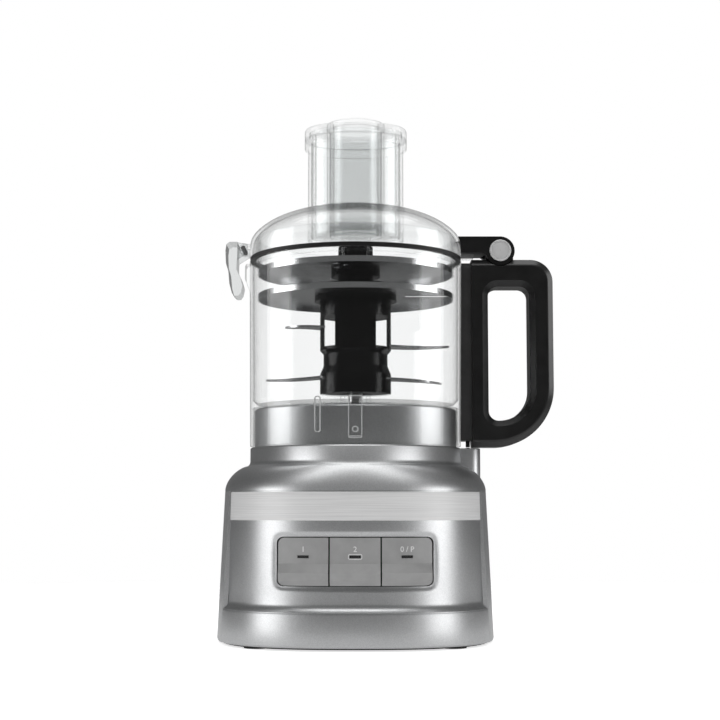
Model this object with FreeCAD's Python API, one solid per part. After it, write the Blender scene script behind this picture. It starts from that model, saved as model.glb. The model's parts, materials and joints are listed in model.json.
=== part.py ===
"""Food processor: base with motor and belt drive, clear bowl, lid, pushers, blade and discs.

Millimetres, +Z up. Every shape is drawn about the bowl's axis (X 0, Y 0, base bottom at Z 0) and
is moved by ORIGIN when it is saved, so that the origin is at the middle of the object's underside.
The front, with the buttons, faces -Y, and the handle is on +X.
"""
import FreeCAD
import Part
import math
import os

V = FreeCAD.Vector

# Base housing: its plan is a superellipse about BASE_Y that narrows a little towards the top.
BASE_HALF_WIDTH = 97.6
BASE_HALF_DEPTH = 92.0
BASE_Y = 8.0
BASE_POWER = 2.6
BASE_TAPER = 0.047
BASE_BOTTOM = 2.0
WALL = 2.6
PLINTH_TOP = 23.4
LEDGE_TOP = 29.0
LEDGE_INSET = 3.2
FRONT_TOP_INSET = 1.2
SHELL_TOP = 105.0
SEAM_Y = -35.0
SEAM_GAP = 0.4
BAND_LOW = 85.2
BAND_TOP = 104.5
BAND_DEPTH = 1.4
BAND_PROUD = 0.3

# Shoulder, neck and the platform that the bowl sits over.
SHOULDER_TOP = 123.5
NECK_R = 75.0
NECK_TOP = 136.0
SHOULDER_LAP = 2.0
PLATFORM_R = 72.0
PLATFORM_TOP = 163.3
POST_X = (77.6, 89.0)
POST_HALF_Y = 8.0
POST_LOW = SHELL_TOP + 8.0
POST_CORNER = 3.5

# Bottom: feet, screws, cord inlet and air slots.
FOOT_R = 9.0
FOOT_H = 2.5
FOOT_PLACES = [(sx * 66, BASE_Y + sy * 60) for sx in (-1, 1) for sy in (-1, 1)]
SCREW_PLACES = [(sx * 48, BASE_Y + sy * 66) for sx in (-1, 1) for sy in (-1, 1)]
COVER_Z = (1.0, 4.4)
CHASSIS_Z = (29.0, 31.5)
INLET_Z = 20.0
INLET_R = 6.8
INLET_FLANGE_R = 9.0
CORD_R = 3.8
VENT_ROWS = 5
VENT_PITCH = 7.0
VENT_H = 2.6
VENT_LOW = 50.0
VENT_HALF_X = 26.0

# Buttons: three equal paddles in one window of the front housing.
BUTTON_PITCH = 34.4
BUTTON_GAP = 1.0
BUTTON_LOW = 42.5
BUTTON_TOP = 74.0
BUTTON_BACK_Y = -70.5
WINDOW_MARGIN = 0.6
WINDOW_CORNER = 4.4
RECESS_MARGIN = 3.2
RECESS_CORNER = 5.0
RECESS_DEPTH = 0.9
BUTTON_CORNER = 4.0
PLUNGER_R = 3.0
PLUNGER_Z = 58.0
BOARD_Y = (-60.0, -58.4)
SWITCH_DEPTH = 3.4
LIGHT_Z = 61.5
LIGHT_SIZE = (7.4, 1.7)

# Drive: a belt takes the motor's turn down to the spindle.
SPINDLE_R = 5.0
SPINDLE_TOP = 236.0
HEX_LOW = 206.0
HEX_CLEARANCE = 0.15
BEARING_R = 13.0
BEARING_H = 8.0
LOWER_BEARING_Z = 36.0
UPPER_BEARING_Z = 150.0
BALL_R = 1.4
BALLS = 9
RACE = 2.5
BEARING_TUBE_WALL = 3.2
MOTOR_Y = 47.0
MOTOR_R = 28.0
ROTOR_R = 15.8
MOTOR_SHAFT_R = 4.0
MOTOR_PULLEY_R = 8.0
DRIVEN_PULLEY_R = 32.0
PULLEY_Z = (10.0, 22.0)
PULLEY_FLANGE = (2.0, 1.2)
CORE_Z = (52.0, 84.0)
ROTOR_Z = (50.0, 86.0)
ROTOR_SLOTS = 12
ROTOR_SLOT_R = 1.3
COMMUTATOR_R = 9.0
COMMUTATOR_Z = (88.0, 98.0)
FAN_R = 23.0
FAN_Z = (32.6, 39.6)
FAN_BLADES = 10
BELT_THICKNESS = 1.8
BELT_CLEARANCE = 0.3

# Bowl.
BOWL_BOTTOM = 137.0
BOWL_FLOOR = 166.7
BOWL_TOP = 269.4
BOWL_R_LOW = 75.2
BOWL_R_TOP = 76.4
BOWL_WALL = 2.5
SKIRT_R_IN = 72.9
TUBE_R_IN = 8.0
TUBE_R_OUT = 10.8
TUBE_TOP = 214.0
FLOOR_THICKNESS = 2.6
LUG_OUTLINE = [(-74.4, 268), (-78.6, 268), (-79.4, 266), (-79.4, 257), (-76.0, 248), (-74.4, 246)]
LUG_HALF = 8.0

# Handle, drawn in the XZ plane.
HANDLE_X = (83.0, 141.2)
HANDLE_Z = (136.4, 270.6)
HANDLE_HALF_Y = 14.0
GRIP_X = (94.7, 124.2)
GRIP_Z = (155.2, 251.2)
HANDLE_CORNER = 16.0
HANDLE_CURVE = 42.5
GRIP_CORNER = 7.0
GRIP_CURVE = 22.0
GRIP_BEVEL = 4.2
HANDLE_FILLET = 2.4
HANDLE_SCREWS = [(133, 196), (133, 240), (108, 145.5), (112, 262)]
SCREW_R = 1.5
SCREW_HEAD_R = 3.1
MOUNT_HALF_Y = 10.5
MOUNT_Z = (141.0, 268.0)
ROD_X = 80.3
ROD_R = 1.5
ROD_TOP = 262.0
ROD_CLEARANCE = 0.4
ROD_GAP = 0.4
INTERLOCK_PIN_LOW = 108.0

# Lid hinge at the top of the handle.
HINGE_X = 103.6
HINGE_Z = 276.8
HINGE_R = 10.4
HINGE_PIN_R = 2.6
HINGE_FIT = 0.05
LUG_HALF_Y = 6.4
FORK_HALF_Y = (6.9, 12.6)
ARM_TOP = HINGE_Z + HINGE_R
ARM_LOW = 275.4

# Lid, chute and latch.
LID_R = 76.3
LID_LOW = 272.5
LID_WALL = 2.4
CHUTE_Y = 30.0
CHUTE_HALF = (35.5, 28.0)
CHUTE_POWER = 2.4
CHUTE_LOW = 291.0
CHUTE_TOP = 360.6
FLANGE_TOP = 367.0
FLANGE_OUT = 2.6
PUSHER_GAP = 0.6
PUSHER_TOP = 374.4
SMALL_R = 19.0
SMALL_TOP = 379.6
LATCH_PIN_X = -80.5
LATCH_PIN_Z = 279.0
LATCH_HALF_Y = 12.0
BRACKET_HALF_Y = 9.0

# Blade and discs, all on one hub.
HUB_R = 25.5
HUB_LOW = 174.6
HUB_TOP = 254.0
HUB_WALL = 3.0
HUB_WAIST = 2.5
HUB_SLOT_X = 14.5
HUB_SLOT_Z = (208.0, 230.0)
BLADE_THICKNESS = 1.4
# Each wing: side, reach, height, the way that it sweeps, and its rise in degrees.
BLADES = [
    (-1, 51.0, 220.4, 1, 2.0),
    (1, 67.0, 209.0, -1, -1.0),
    (-1, 64.0, 188.0, -1, -4.0),
    (1, 62.0, 186.0, 1, -4.0),
]
STEM_R = 12.6
STEM_TOP = 282.0
DISC_R = 70.2
SLICING_Z = 246.0
SHREDDING_Z = 264.0
DISC_RIM = 4.0
DISC_THICKNESS = 1.0
SLICING_SLOT_X = (36.0, 66.0)
SLICING_BLADE = (1.6, 2.4)
SHRED_ROWS = 5
SHRED_FIRST_R = 27.0
SHRED_PITCH = 8.5
SHRED_HOLE_R = 1.9
STEM_GROOVES = 6

# The middle of the object's box goes to the origin.
ORIGIN = V(
    (BASE_HALF_WIDTH - HANDLE_X[1]) / 2,
    -BASE_Y,
    0,
)

CENTRE = V(0, 0, 0)
UP = V(0, 0, 1)
REAR = V(0, 1, 0)


# ---------------------------------------------------------------- plain shapes

def cylinder(radius, low, top, x=0.0, y=0.0):
    return Part.makeCylinder(radius, top - low, V(x, y, low))


def ring(outer, inner, low, top, x=0.0, y=0.0):
    return cylinder(outer, low, top, x, y).cut(cylinder(inner, low - 1, top + 1, x, y))


def box(x, y, z):
    """A box from three (low, high) pairs."""
    return Part.makeBox(x[1] - x[0], y[1] - y[0], z[1] - z[0], V(x[0], y[0], z[0]))


def pin_y(radius, x, z, y):
    """A cylinder along Y, from y[0] to y[1]."""
    return Part.makeCylinder(radius, y[1] - y[0], V(x, y[0], z), REAR)


def plate_xz(points, y):
    """A polygon in the XZ plane, drawn from y[0] to y[1]."""
    corners = [V(px, y[0], pz) for px, pz in points]
    face = Part.Face(Part.makePolygon(corners + corners[:1]))
    return face.extrude(V(0, y[1] - y[0], 0))


def revolved(points):
    """A closed polygon of (radius, height) points turned about the bowl's axis."""
    corners = [V(radius, 0, height) for radius, height in points]
    face = Part.Face(Part.makePolygon(corners + corners[:1]))
    return face.revolve(CENTRE, UP, 360)


def hexagon(radius, low, top):
    angles = [k * math.pi / 3 for k in range(6)]
    corners = [V(radius * math.cos(angle), radius * math.sin(angle), low) for angle in angles]
    face = Part.Face(Part.makePolygon(corners + corners[:1]))
    return face.extrude(V(0, 0, top - low))


def rounded(solid, radius, wanted):
    """Fillet the edges for which wanted(edge) is true."""
    edges = [edge for edge in solid.Edges if wanted(edge)]
    return solid.makeFillet(radius, edges)


def along(edge, direction):
    """True for a straight edge that runs along the direction."""
    if not isinstance(edge.Curve, Part.Line):
        return False
    return abs(edge.tangentAt(edge.FirstParameter).dot(direction)) > 0.999


def at(edge, x, z, reach=0.5):
    """True for an edge whose middle is at this X and Z."""
    middle = edge.CenterOfMass
    return abs(middle.x - x) < reach and abs(middle.z - z) < reach


def save(node, shape):
    """Write one sub-part, moved to the object's frame."""
    if isinstance(shape, list):
        shape = Part.makeCompound(shape)
    shape = shape.copy()
    shape.translate(ORIGIN)
    shape.exportStep("parts/" + node + ".step")
    print("%-22s solids %2d  %9.0f mm3  %s" % (node, len(shape.Solids), shape.Volume, shape.isValid()))


# ---------------------------------------------------------------- base outline

def superellipse(half_x, half_y, centre_y, power, z, count=48):
    """Points of a superellipse at height z, starting on +X."""
    points = []
    for k in range(count):
        angle = 2 * math.pi * k / count
        cosine = math.cos(angle)
        sine = math.sin(angle)
        reach = (abs(cosine / half_x) ** power + abs(sine / half_y) ** power) ** (-1 / power)
        points.append(V(reach * cosine, centre_y + reach * sine, z))
    return points


def smooth_wire(points):
    curve = Part.BSplineCurve()
    curve.interpolate(points, PeriodicFlag=True)
    return Part.Wire([curve.toShape()])


def base_section(z, inset):
    half_x = BASE_HALF_WIDTH - inset - BASE_TAPER * z
    half_y = BASE_HALF_DEPTH - inset - BASE_TAPER * z
    return smooth_wire(superellipse(half_x, half_y, BASE_Y, BASE_POWER, z))


def base_solid(profile, extra=0.0):
    """A solid of base sections from a list of (height, inset)."""
    wires = [base_section(z, inset + extra) for z, inset in profile]
    return Part.makeLoft(wires, True, True)


def front_inset(z):
    """How far the front face stands inside the base outline above the ledge."""
    share = (z - LEDGE_TOP) / (SHELL_TOP - LEDGE_TOP)
    return LEDGE_INSET + share * (FRONT_TOP_INSET - LEDGE_INSET)


FRONT_PROFILE = [
    (BASE_BOTTOM, 0.6),
    (BASE_BOTTOM + 1.5, 0.0),
    (PLINTH_TOP - 1.0, 0.0),
    (PLINTH_TOP, 0.7),
    (LEDGE_TOP - 1.5, LEDGE_INSET - 0.3),
    (LEDGE_TOP, LEDGE_INSET),
    (SHELL_TOP, FRONT_TOP_INSET),
]
REAR_PROFILE = [(BASE_BOTTOM, 0.6), (BASE_BOTTOM + 1.5, 0.0), (SHELL_TOP, 0.0)]
FAR = 200.0
FRONT_HALF = ((-FAR, FAR), (-FAR, SEAM_Y), (-10, FAR))
REAR_HALF = ((-FAR, FAR), (SEAM_Y + SEAM_GAP, FAR), (-10, FAR))


def face_skin(low, top, out, depth):
    """A skin of the front face between two heights, from out proud to depth below."""
    steps = [low, top]
    outer = base_solid([(z, front_inset(z) - out) for z in steps])
    inner = base_solid([(z, front_inset(z) + depth) for z in (low - 0.5, top + 0.5)])
    return outer.cut(inner).common(box(*FRONT_HALF))


# ---------------------------------------------------------------- base shells

def window_block(margin, radius):
    """The buttons' outline as a block, with a margin all round."""
    half = 1.5 * BUTTON_PITCH + margin
    block = box((-half, half), (-FAR, -60), (BUTTON_LOW - margin, BUTTON_TOP + margin))
    return rounded(block, radius, lambda edge: along(edge, REAR))


def make_front_housing():
    inner = base_solid([(z, inset) for z, inset in FRONT_PROFILE[2:]], WALL)
    floor = base_solid([(BASE_BOTTOM - 1, 0.6), (PLINTH_TOP - 1.0, 0.0)], WALL)
    shell = base_solid(FRONT_PROFILE).cut(inner).cut(floor).common(box(*FRONT_HALF))
    recess = face_skin(BUTTON_LOW - 4, BUTTON_TOP + 4, 1.0, RECESS_DEPTH)
    recess = recess.common(window_block(RECESS_MARGIN, RECESS_CORNER))
    shell = shell.cut(recess).cut(window_block(WINDOW_MARGIN, WINDOW_CORNER))
    return shell.cut(face_skin(BAND_LOW, BAND_TOP, 1.0, BAND_DEPTH))


def make_trim_band():
    return face_skin(BAND_LOW + 0.1, BAND_TOP - 0.1, BAND_PROUD, BAND_DEPTH)


def make_rear_housing():
    shell = base_solid(REAR_PROFILE).cut(base_solid([(BASE_BOTTOM - 1, 0.6), (SHELL_TOP + 1, 0.0)], WALL))
    shell = shell.common(box(*REAR_HALF))
    back = BASE_Y + BASE_HALF_DEPTH
    shell = shell.cut(pin_y(INLET_R + 0.2, 0, INLET_Z, (back - 12, back + 8)))
    for row in range(VENT_ROWS):
        z = VENT_LOW + VENT_PITCH * row
        shell = shell.cut(box((-VENT_HALF_X, VENT_HALF_X), (back - 22, FAR), (z, z + VENT_H)))
    return shell


def shoulder(inset, low, top):
    """The rounded shoulder: the base outline turns into the neck's circle on a quarter ellipse."""
    wires = []
    steps = 7
    for k in range(steps):
        turn = 0.5 * math.pi * k / (steps - 1)
        share = math.cos(turn)
        z = low + (top - low) * math.sin(turn)
        reach = BASE_TAPER * SHELL_TOP + inset
        outside = superellipse(BASE_HALF_WIDTH - reach, BASE_HALF_DEPTH - reach, BASE_Y, BASE_POWER, z)
        radius = NECK_R - inset - SHOULDER_LAP
        inside = superellipse(radius, radius, 0.0, 2.0, z)
        wires.append(smooth_wire([b * (1 - share) + a * share for a, b in zip(outside, inside)]))
    return Part.makeLoft(wires, True, False)


def make_top_housing():
    outer = shoulder(0.0, SHELL_TOP + 0.2, SHOULDER_TOP)
    outer = outer.fuse(cylinder(NECK_R, SHOULDER_TOP - 4.0, NECK_TOP))
    outer = outer.fuse(cylinder(PLATFORM_R, NECK_TOP - 1.0, PLATFORM_TOP))
    post_y = (-POST_HALF_Y, POST_HALF_Y)
    post_top = NECK_TOP - 0.3
    post = box(POST_X, post_y, (POST_LOW, post_top))
    post = rounded(post, POST_CORNER, lambda edge: along(edge, UP) and edge.CenterOfMass.x > POST_X[0] + 1)
    outer = outer.fuse(post.common(cylinder(POST_X[1], SHELL_TOP, NECK_TOP)))
    outer = outer.fuse(box((NECK_R - 5, POST_X[0] + 1), post_y, (SHOULDER_TOP - 2, post_top)))
    inner = shoulder(WALL, SHELL_TOP - 0.4, SHOULDER_TOP - WALL)
    inner = inner.fuse(cylinder(NECK_R - WALL, SHELL_TOP + 1, NECK_TOP - WALL))
    inner = inner.fuse(cylinder(PLATFORM_R - WALL, NECK_TOP - 5, PLATFORM_TOP - WALL))
    shell = outer.cut(inner)
    shell = shell.cut(cylinder(BEARING_R + 0.2, PLATFORM_TOP - 5, PLATFORM_TOP + 1))
    return shell.cut(cylinder(ROD_R + ROD_CLEARANCE, SHELL_TOP, NECK_TOP + 1, ROD_X, 0))


def make_bottom_cover():
    """The bottom plate, with a pocket for each foot and air slots under the motor."""
    plate = base_solid([(z, 1.9) for z in COVER_Z], WALL - 1.0)
    for x, y in FOOT_PLACES:
        plate = plate.cut(cylinder(FOOT_R + 0.2, 0, FOOT_H + 0.1, x, y))
    slots = 7
    slot_pitch = 12.0
    for k in range(slots):
        x = slot_pitch * (k - (slots - 1) / 2)
        plate = plate.cut(box((x - 1.5, x + 1.5), (20, 62), (0, 6)))
    return plate


def make_feet():
    return [cylinder(FOOT_R, 0, FOOT_H, x, y) for x, y in FOOT_PLACES]


def make_bottom_screws():
    screws = []
    for x, y in SCREW_PLACES:
        screws.append(cylinder(1.7, 4.6, 16, x, y).fuse(cylinder(3.4, 4.6, 6.6, x, y)))
    return screws


def make_chassis_plate():
    low, top = CHASSIS_Z
    plate = base_solid([(z, LEDGE_INSET) for z in CHASSIS_Z], WALL + 1.0)
    plate = plate.cut(cylinder(SPINDLE_R + 4, low - 1, top + 1))
    return plate.cut(cylinder(MOTOR_SHAFT_R + 3, low - 1, top + 1, 0, MOTOR_Y))


def make_cord_inlet():
    """The gland that the mains cord would come out of, at the back."""
    back = BASE_Y + BASE_HALF_DEPTH
    gland = pin_y(INLET_R, 0, INLET_Z, (back - 8, back + 1))
    gland = gland.fuse(pin_y(INLET_FLANGE_R, 0, INLET_Z, (back - 8, back - 6)))
    return gland.cut(pin_y(CORD_R, 0, INLET_Z, (back - 12, back + 8)))


# ---------------------------------------------------------------- buttons

BUTTON_SECTION = [(BUTTON_LOW, 0.2), (46.0, 3.6), (51.0, 4.6), (57.0, 0.7), (BUTTON_TOP, 0.7)]
BUTTONS = {"button_1": -1, "button_2": 0, "button_pulse": 1}


def button_x(place):
    half = (BUTTON_PITCH - BUTTON_GAP) / 2
    return (place * BUTTON_PITCH - half, place * BUTTON_PITCH + half)


def make_button(place):
    """A paddle whose front follows the housing, with a raised lip along its lower part."""
    front = base_solid([(z, front_inset(z) - out) for z, out in BUTTON_SECTION])
    block = box(button_x(place), (-FAR, BUTTON_BACK_Y), (BUTTON_LOW, BUTTON_TOP))
    outer_x = place * (1.5 * BUTTON_PITCH - BUTTON_GAP / 2)

    def on_outer_side(edge):
        return along(edge, REAR) and abs(edge.CenterOfMass.x - outer_x) < 0.1

    if place:
        block = rounded(block, BUTTON_CORNER, on_outer_side)
    plunger_y = (BUTTON_BACK_Y - 1, BUTTON_BACK_Y + 3.5)
    plunger = pin_y(PLUNGER_R, place * BUTTON_PITCH, PLUNGER_Z, plunger_y)
    return front.common(block).fuse(plunger).cut(light_block(place, 0.1))


def light_block(place, margin):
    half_x = LIGHT_SIZE[0] / 2 + margin
    half_z = LIGHT_SIZE[1] / 2 + margin
    x = place * BUTTON_PITCH
    front = face_skin(LIGHT_Z - 4, LIGHT_Z + 4, 0.9, 2.4)
    return front.common(box((x - half_x, x + half_x), (-FAR, 0), (LIGHT_Z - half_z, LIGHT_Z + half_z)))


def make_control_board():
    board = box((-49, 49), BOARD_Y, (36, 80))
    for x in (-42, 42):
        board = board.cut(pin_y(1.6, x, 76, (-62, -57)))
    return board


def make_button_switches():
    switches = []
    for place in BUTTONS.values():
        x = place * BUTTON_PITCH
        switches.append(box((x - 6, x + 6), (BOARD_Y[0] - SWITCH_DEPTH, BOARD_Y[0]), (52, 64)))
    return switches


# ---------------------------------------------------------------- drive

def make_bearings():
    """Two ball bearings: outer race, inner race and balls."""
    solids = []
    outer_race_in = BEARING_R - RACE - 0.1
    inner_race_out = SPINDLE_R + RACE - 0.1
    middle = (outer_race_in + inner_race_out) / 2
    for low in (LOWER_BEARING_Z, UPPER_BEARING_Z):
        top = low + BEARING_H
        solids.append(ring(BEARING_R - 0.05, outer_race_in, low, top))
        solids.append(ring(inner_race_out, SPINDLE_R + 0.06, low, top))
        for k in range(BALLS):
            angle = 2 * math.pi * k / BALLS
            place = V(middle * math.cos(angle), middle * math.sin(angle), low + BEARING_H / 2)
            solids.append(Part.makeSphere(BALL_R, place))
    return solids


def make_bearing_tube():
    foot_low = CHASSIS_Z[1]
    tube = ring(BEARING_R + BEARING_TUBE_WALL, BEARING_R, foot_low + 2.5, PLATFORM_TOP - 5)
    foot = ring(BEARING_R + 9, BEARING_R, foot_low, foot_low + 4)
    return tube.fuse(foot)


def make_spindle():
    shaft = cylinder(SPINDLE_R, 8, HEX_LOW)
    shaft = shaft.fuse(hexagon(SPINDLE_R, HEX_LOW, SPINDLE_TOP))
    return shaft


def make_pulley(radius, bore, y):
    """A flanged pulley; the large one is hollowed from below."""
    low, top = PULLEY_Z
    proud, thickness = PULLEY_FLANGE
    wheel = cylinder(radius, low, top, 0, y)
    for flange_low in (low - thickness, top):
        wheel = wheel.fuse(cylinder(radius + proud, flange_low, flange_low + thickness, 0, y))
    wheel = wheel.cut(cylinder(bore, low - 2, top + 2, 0, y))
    if radius == DRIVEN_PULLEY_R:
        wheel = wheel.cut(ring(radius - 4, bore + 5, low - 2, low + 3.5, 0, y))
    return wheel


def belt_outline(extra):
    """The solid inside the belt's line: two discs joined by their outer tangents."""
    low = PULLEY_Z[0] + 0.8
    top = PULLEY_Z[1] - 0.8
    large = DRIVEN_PULLEY_R + extra
    small = MOTOR_PULLEY_R + extra
    lean = math.asin((large - small) / MOTOR_Y)
    corners = []
    for radius, y in ((large, 0.0), (small, MOTOR_Y)):
        corners.append(V(radius * math.cos(lean), y + radius * math.sin(lean), low))
    corners += [V(-corner.x, corner.y, low) for corner in reversed(corners)]
    sides = Part.Face(Part.makePolygon(corners + corners[:1])).extrude(V(0, 0, top - low))
    return sides.fuse([cylinder(large, low, top), cylinder(small, low, top, 0, MOTOR_Y)])


def make_drive_belt():
    return belt_outline(BELT_CLEARANCE + BELT_THICKNESS).cut(belt_outline(BELT_CLEARANCE))


def make_motor_core():
    low, top = CORE_Z
    core = ring(MOTOR_R, ROTOR_R + 0.7, low, top, 0, MOTOR_Y)
    for x in (-MOTOR_R, MOTOR_R):
        core = core.cut(box((x - 2.5, x + 2.5), (MOTOR_Y - 9, MOTOR_Y + 9), (low - 1, top + 1)))
    return core


def make_field_windings():
    height = 7.0
    lows = (CORE_Z[0] - height - 0.5, CORE_Z[1] + 0.5)
    rings = [ring(MOTOR_R - 3, ROTOR_R + 1.5, low, low + height, 0, MOTOR_Y) for low in lows]
    return [rounded(coil, 1.6, lambda edge: True) for coil in rings]


def make_motor_frames():
    frames = []
    for low in (40.5, 102.0):
        plate = box((-MOTOR_R, MOTOR_R), (MOTOR_Y - 10, MOTOR_Y + 10), (low, low + 3))
        plate = rounded(plate, 4.0, lambda edge: along(edge, UP))
        frames.append(plate.cut(cylinder(MOTOR_SHAFT_R + 0.08, low - 1, low + 4, 0, MOTOR_Y)))
    return frames


def make_rotor():
    low, top = ROTOR_Z
    reach = ROTOR_R - 1
    core = cylinder(ROTOR_R, low, top, 0, MOTOR_Y)
    for k in range(ROTOR_SLOTS):
        angle = 2 * math.pi * k / ROTOR_SLOTS
        x = reach * math.cos(angle)
        y = MOTOR_Y + reach * math.sin(angle)
        core = core.cut(cylinder(ROTOR_SLOT_R, low - 1, top + 1, x, y))
    return core.cut(cylinder(MOTOR_SHAFT_R, low - 1, top + 1, 0, MOTOR_Y))


def make_commutator():
    return ring(COMMUTATOR_R, MOTOR_SHAFT_R, *COMMUTATOR_Z, 0, MOTOR_Y)


def make_motor_shaft():
    return cylinder(MOTOR_SHAFT_R, 8.4, 108, 0, MOTOR_Y)


def make_fan():
    low, top = FAN_Z
    hub_r = 7.0
    fan = ring(hub_r, MOTOR_SHAFT_R, low, top, 0, MOTOR_Y)
    fan = fan.fuse(ring(FAN_R, MOTOR_SHAFT_R, low, low + 1.2, 0, MOTOR_Y))
    for k in range(FAN_BLADES):
        vane = box((hub_r - 1, FAN_R - 1), (-0.6, 0.6), (low + 1, top - 0.2))
        vane.rotate(CENTRE, UP, 360 * k / FAN_BLADES)
        vane.translate(V(0, MOTOR_Y, 0))
        fan = fan.fuse(vane)
    return fan


def make_shaft_seal():
    return ring(BEARING_R + 0.1, SPINDLE_R + 0.06, UPPER_BEARING_Z + BEARING_H + 0.5, PLATFORM_TOP + 0.1)


# ---------------------------------------------------------------- bowl and handle

def bowl_radius(z):
    return BOWL_R_LOW + (BOWL_R_TOP - BOWL_R_LOW) * (z - BOWL_BOTTOM) / (BOWL_TOP - BOWL_BOTTOM)


def make_bowl():
    floor_low = BOWL_FLOOR - FLOOR_THICKNESS
    wall = revolved([
        (TUBE_R_IN, floor_low),
        (TUBE_R_IN, TUBE_TOP),
        (TUBE_R_OUT, TUBE_TOP),
        (TUBE_R_OUT, BOWL_FLOOR),
        (bowl_radius(BOWL_FLOOR) - BOWL_WALL - 3, BOWL_FLOOR),
        (bowl_radius(BOWL_FLOOR) - BOWL_WALL, BOWL_FLOOR + 3),
        (BOWL_R_TOP - BOWL_WALL, BOWL_TOP),
        (BOWL_R_TOP, BOWL_TOP),
        (BOWL_R_LOW, BOWL_BOTTOM),
        (SKIRT_R_IN, BOWL_BOTTOM),
        (SKIRT_R_IN, floor_low),
    ])
    lug = plate_xz(LUG_OUTLINE, (-LUG_HALF, LUG_HALF))
    inside = cylinder(BOWL_R_TOP - BOWL_WALL + 0.2, BOWL_FLOOR + 5, BOWL_TOP + 1)
    return wall.fuse(lug.cut(inside))


def handle_outline(y):
    """The handle's side view: a D with a large curve at its lower outer corner."""
    block = box(HANDLE_X, y, HANDLE_Z)
    outer_x = HANDLE_X[1]
    low, top = HANDLE_Z
    block = rounded(block, HANDLE_CORNER, lambda edge: along(edge, REAR) and at(edge, outer_x, top))
    return rounded(block, HANDLE_CURVE, lambda edge: along(edge, REAR) and at(edge, outer_x, low))


def grip_opening(y):
    """The finger opening, whose lower outer corner follows the handle's large curve."""
    block = box(GRIP_X, y, GRIP_Z)
    outer_x = GRIP_X[1]
    low = GRIP_Z[0]
    near = GRIP_CURVE / 2 + 1
    block = rounded(block, GRIP_CURVE, lambda edge: along(edge, REAR) and at(edge, outer_x, low))
    return rounded(block, GRIP_CORNER, lambda edge: along(edge, REAR) and not at(edge, outer_x, low, near))


def outside_handle(edge):
    """True for an edge on the handle's outer outline, not round its opening."""
    middle = edge.CenterOfMass
    in_x = GRIP_X[0] - 6 < middle.x < GRIP_X[1] + 6
    in_z = GRIP_Z[0] - 6 < middle.z < GRIP_Z[1] + 6
    return not (in_x and in_z)


def make_handle():
    """One solid, with its edges rounded, that is then split into a front and a back half."""
    half = HANDLE_HALF_Y
    solid = handle_outline((-half, half)).cut(grip_opening((-half - 1, half + 1)))

    def on_side(edge):
        return abs(abs(edge.CenterOfMass.y) - half) < 0.01

    opening = [edge for edge in solid.Edges if on_side(edge) and not outside_handle(edge)]
    solid = solid.makeChamfer(GRIP_BEVEL, opening)

    def on_outer_rim(edge):
        return on_side(edge) and outside_handle(edge) and edge.CenterOfMass.x > HANDLE_X[0] + 1

    solid = rounded(solid, HANDLE_FILLET, on_outer_rim)
    for y in ((-half - 1, -LUG_HALF_Y), (LUG_HALF_Y, half + 1)):
        solid = solid.cut(pin_y(HINGE_R + 0.8, HINGE_X, HINGE_Z, y))
    lug_r = HINGE_R - 0.6
    lug_y = (-LUG_HALF_Y, LUG_HALF_Y)
    foot = box((HINGE_X - lug_r, HINGE_X + lug_r), lug_y, (HANDLE_Z[1] - 7, HINGE_Z))
    solid = solid.fuse([pin_y(lug_r, HINGE_X, HINGE_Z, lug_y), foot])
    solid = solid.cut(pin_y(HINGE_PIN_R, HINGE_X, HINGE_Z, (-20, 20)))
    for x, z in HANDLE_SCREWS:
        solid = solid.cut(pin_y(SCREW_R + 0.1, x, z, (-6, 20)))
        solid = solid.cut(pin_y(SCREW_HEAD_R + 0.2, x, z, (half - 4, 20)))
    return solid


def make_handle_halves():
    solid = make_handle()
    front = solid.common(box((-FAR, FAR), (-FAR, -0.15), (-FAR, 400)))
    back = solid.common(box((-FAR, FAR), (0.15, FAR), (-FAR, 400)))
    return front, back


def make_handle_screws():
    screws = []
    seat = HANDLE_HALF_Y - 3.9
    for x, z in HANDLE_SCREWS:
        thread = pin_y(SCREW_R, x, z, (-5.5, seat + 0.1))
        head = pin_y(SCREW_HEAD_R, x, z, (seat, seat + 2.3))
        screws.append(thread.fuse(head))
    return screws


def bowl_outside():
    low = 100.0
    top = 300.0
    return revolved([(0, low), (bowl_radius(low) + 0.05, low), (bowl_radius(top) + 0.05, top), (0, top)])


def make_handle_mount():
    strip = box((70, HANDLE_X[0]), (-MOUNT_HALF_Y, MOUNT_HALF_Y), MOUNT_Z).cut(bowl_outside())
    return strip.cut(cylinder(ROD_R + ROD_CLEARANCE, MOUNT_Z[0] - 1, MOUNT_Z[1] - 0.5, ROD_X, 0))


def make_interlock_rod():
    return cylinder(ROD_R, NECK_TOP + 0.3 + ROD_GAP, ROD_TOP, ROD_X, 0)


def make_interlock_pin():
    low = INTERLOCK_PIN_LOW
    pin = cylinder(ROD_R, low, NECK_TOP + 0.3, ROD_X, 0)
    return pin.fuse(cylinder(ROD_R + 1.1, low, low + 1.2, ROD_X, 0))


def make_interlock_switch():
    top = INTERLOCK_PIN_LOW - 1.0
    return box((ROD_X - 10.3, ROD_X + 2.2), (-9, 9), (top - 10, top))


def make_hinge_pin():
    return pin_y(HINGE_PIN_R - 0.02, HINGE_X, HINGE_Z, (-FORK_HALF_Y[1] - 0.6, FORK_HALF_Y[1]))


def make_hinge_cap():
    """A thin disc over the front end of the hinge pin, with a ring groove in its face."""
    back = -FORK_HALF_Y[1] - 0.6
    cap = pin_y(7.7, HINGE_X, HINGE_Z, (back - 2.0, back))
    cap = cap.cut(pin_y(6.2, HINGE_X, HINGE_Z, (back - 2.4, back - 1.5)))
    return cap.fuse(pin_y(5.4, HINGE_X, HINGE_Z, (back - 1.8, back - 0.9)))


# ---------------------------------------------------------------- lid, pushers and latch

def oval(half_x, half_y, low, top):
    wires = [smooth_wire(superellipse(half_x, half_y, CHUTE_Y, CHUTE_POWER, z, 32)) for z in (low, top)]
    return Part.makeLoft(wires, True, True)


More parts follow.
